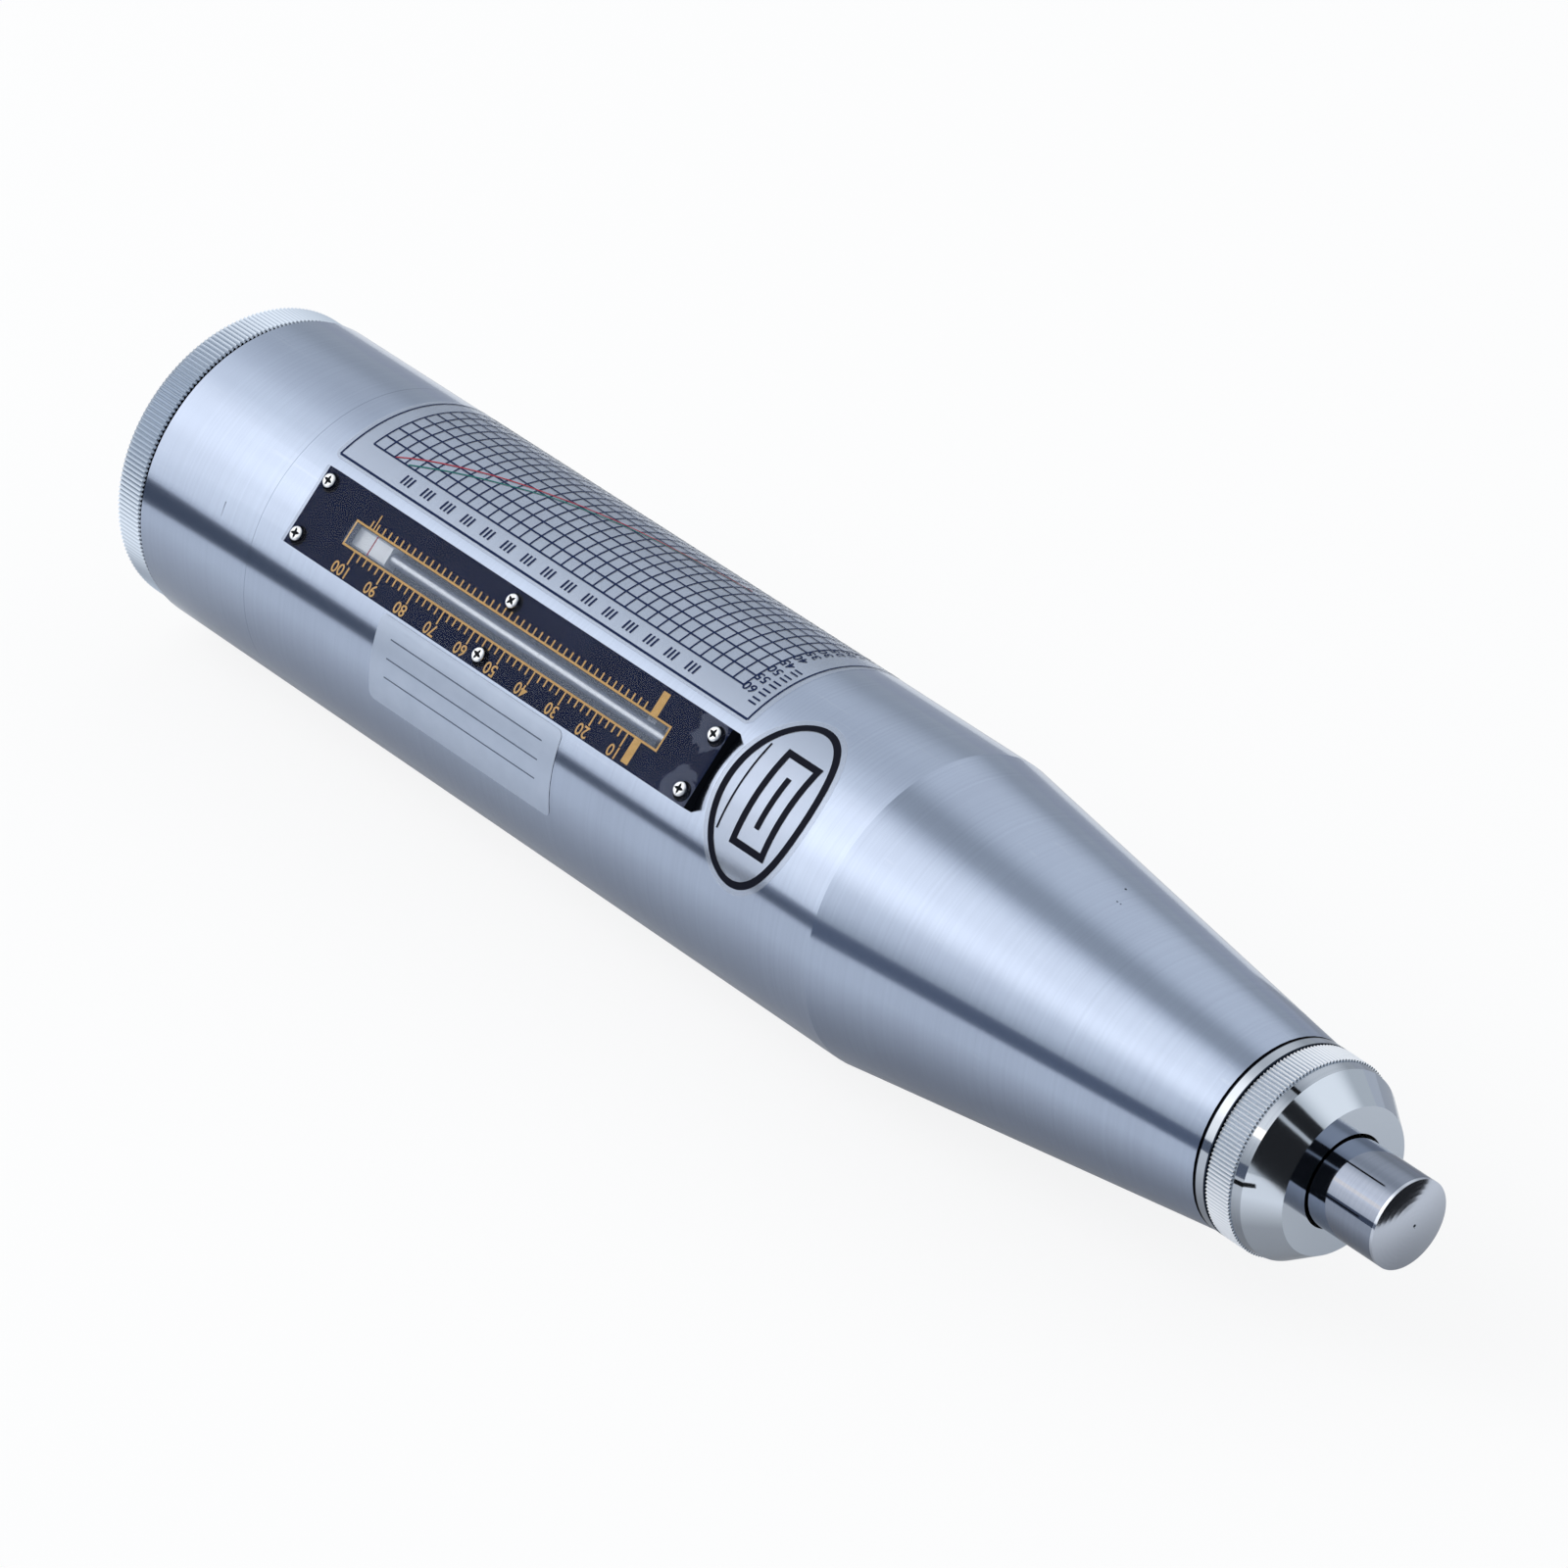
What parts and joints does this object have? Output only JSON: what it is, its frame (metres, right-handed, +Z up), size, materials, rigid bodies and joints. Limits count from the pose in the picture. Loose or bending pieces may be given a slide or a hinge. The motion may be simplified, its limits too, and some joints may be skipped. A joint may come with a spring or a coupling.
{
  "type": "concrete test hammer",
  "caption": "Rebound test hammer for concrete: tapered metal tube with a knurled cap at each end, a rounded plunger, a scale window with a rider, a lock button and the working mechanism inside.",
  "frame": {"origin": "on the ground under the middle of the tool's length, under its axis", "axes": "+X towards the striking end, +Z up, the tool lying on its side with the scale turned up and towards -Y"},
  "size_m": [0.278, 0.054, 0.054],
  "materials": {
    "housing": "satin, finely brushed round the tube",
    "cover": "turned, knurled rim",
    "bright_steel": "turned and polished",
    "dark_steel": "oiled",
    "spring_steel": "bright wire",
    "plate": "anodised dark blue with orange scale printing",
    "pane": "clear polished acrylic",
    "rider": "matt, with a red line",
    "felt": "felt"
  },
  "bodies": {
    "tube": {"housing": "housing", "rear_cover": "cover", "trip_screw": "dark_steel", "trip_lock_nut": "bright_steel", "pressure_spring": "spring_steel", "impact_spring": "spring_steel", "spring_seat": "bright_steel", "split_ring": "dark_steel", "nose_cap": "bright_steel", "felt_seal": "felt", "scale_plate": "plate", "window_pane": "pane", "scale_screws": "bright_steel", "rider_rod": "bright_steel", "rod_block_rear": "dark_steel", "rod_block_front": "dark_steel", "button_bush": "bright_steel", "button_spring": "spring_steel"},
    "carriage": {"guide_flange": "bright_steel", "guide_rod": "bright_steel", "pawl_pin": "bright_steel", "pawl_spring": "spring_steel", "buffer_spring": "spring_steel"},
    "plunger": {"plunger": "bright_steel"},
    "mass": {"hammer_mass": "bright_steel"},
    "pawl": {"pawl": "dark_steel"},
    "rider": {"rider": "rider", "rider_leaf": "spring_steel"},
    "button": {"lock_button": "bright_steel", "lock_pin": "dark_steel"}
  },
  "joints": [
    {"name": "carriage_slide", "type": "slide", "parent": "tube", "child": "carriage", "axis": [1, 0, 0], "range_m": [0, 0.075], "deforming": ["pressure_spring"]},
    {"name": "plunger_buffer", "type": "slide", "parent": "carriage", "child": "plunger", "axis": [1, 0, 0], "range_m": [-0.003, 0], "stiffness_N_per_m": 1500, "springref_m": 0.002, "deforming": ["buffer_spring"]},
    {"name": "hammer_slide", "type": "slide", "parent": "tube", "child": "mass", "axis": [1, 0, 0], "range_m": [-0.075, 0], "stiffness_N_per_m": 785, "deforming": ["impact_spring"]},
    {"name": "pawl_turn", "type": "hinge", "parent": "carriage", "child": "pawl", "pos_m": [-0.1063, 0.0099, 0.0369], "axis": [0, -0.7071, 0.7071], "range_deg": [0, 8], "stiffness_Nm_per_rad": 0.25, "springref_deg": -8.59, "deforming": ["pawl_spring"]},
    {"name": "rider_slide", "type": "slide", "parent": "tube", "child": "rider", "axis": [1, 0, 0], "range_m": [-0.0011, 0.0738]},
    {"name": "lock_press", "type": "slide", "parent": "tube", "child": "button", "axis": [0, -0.7071, 0.7071], "range_m": [0, 0.003], "stiffness_N_per_m": 800, "springref_m": -0.005, "deforming": ["button_spring"]}
  ]
}
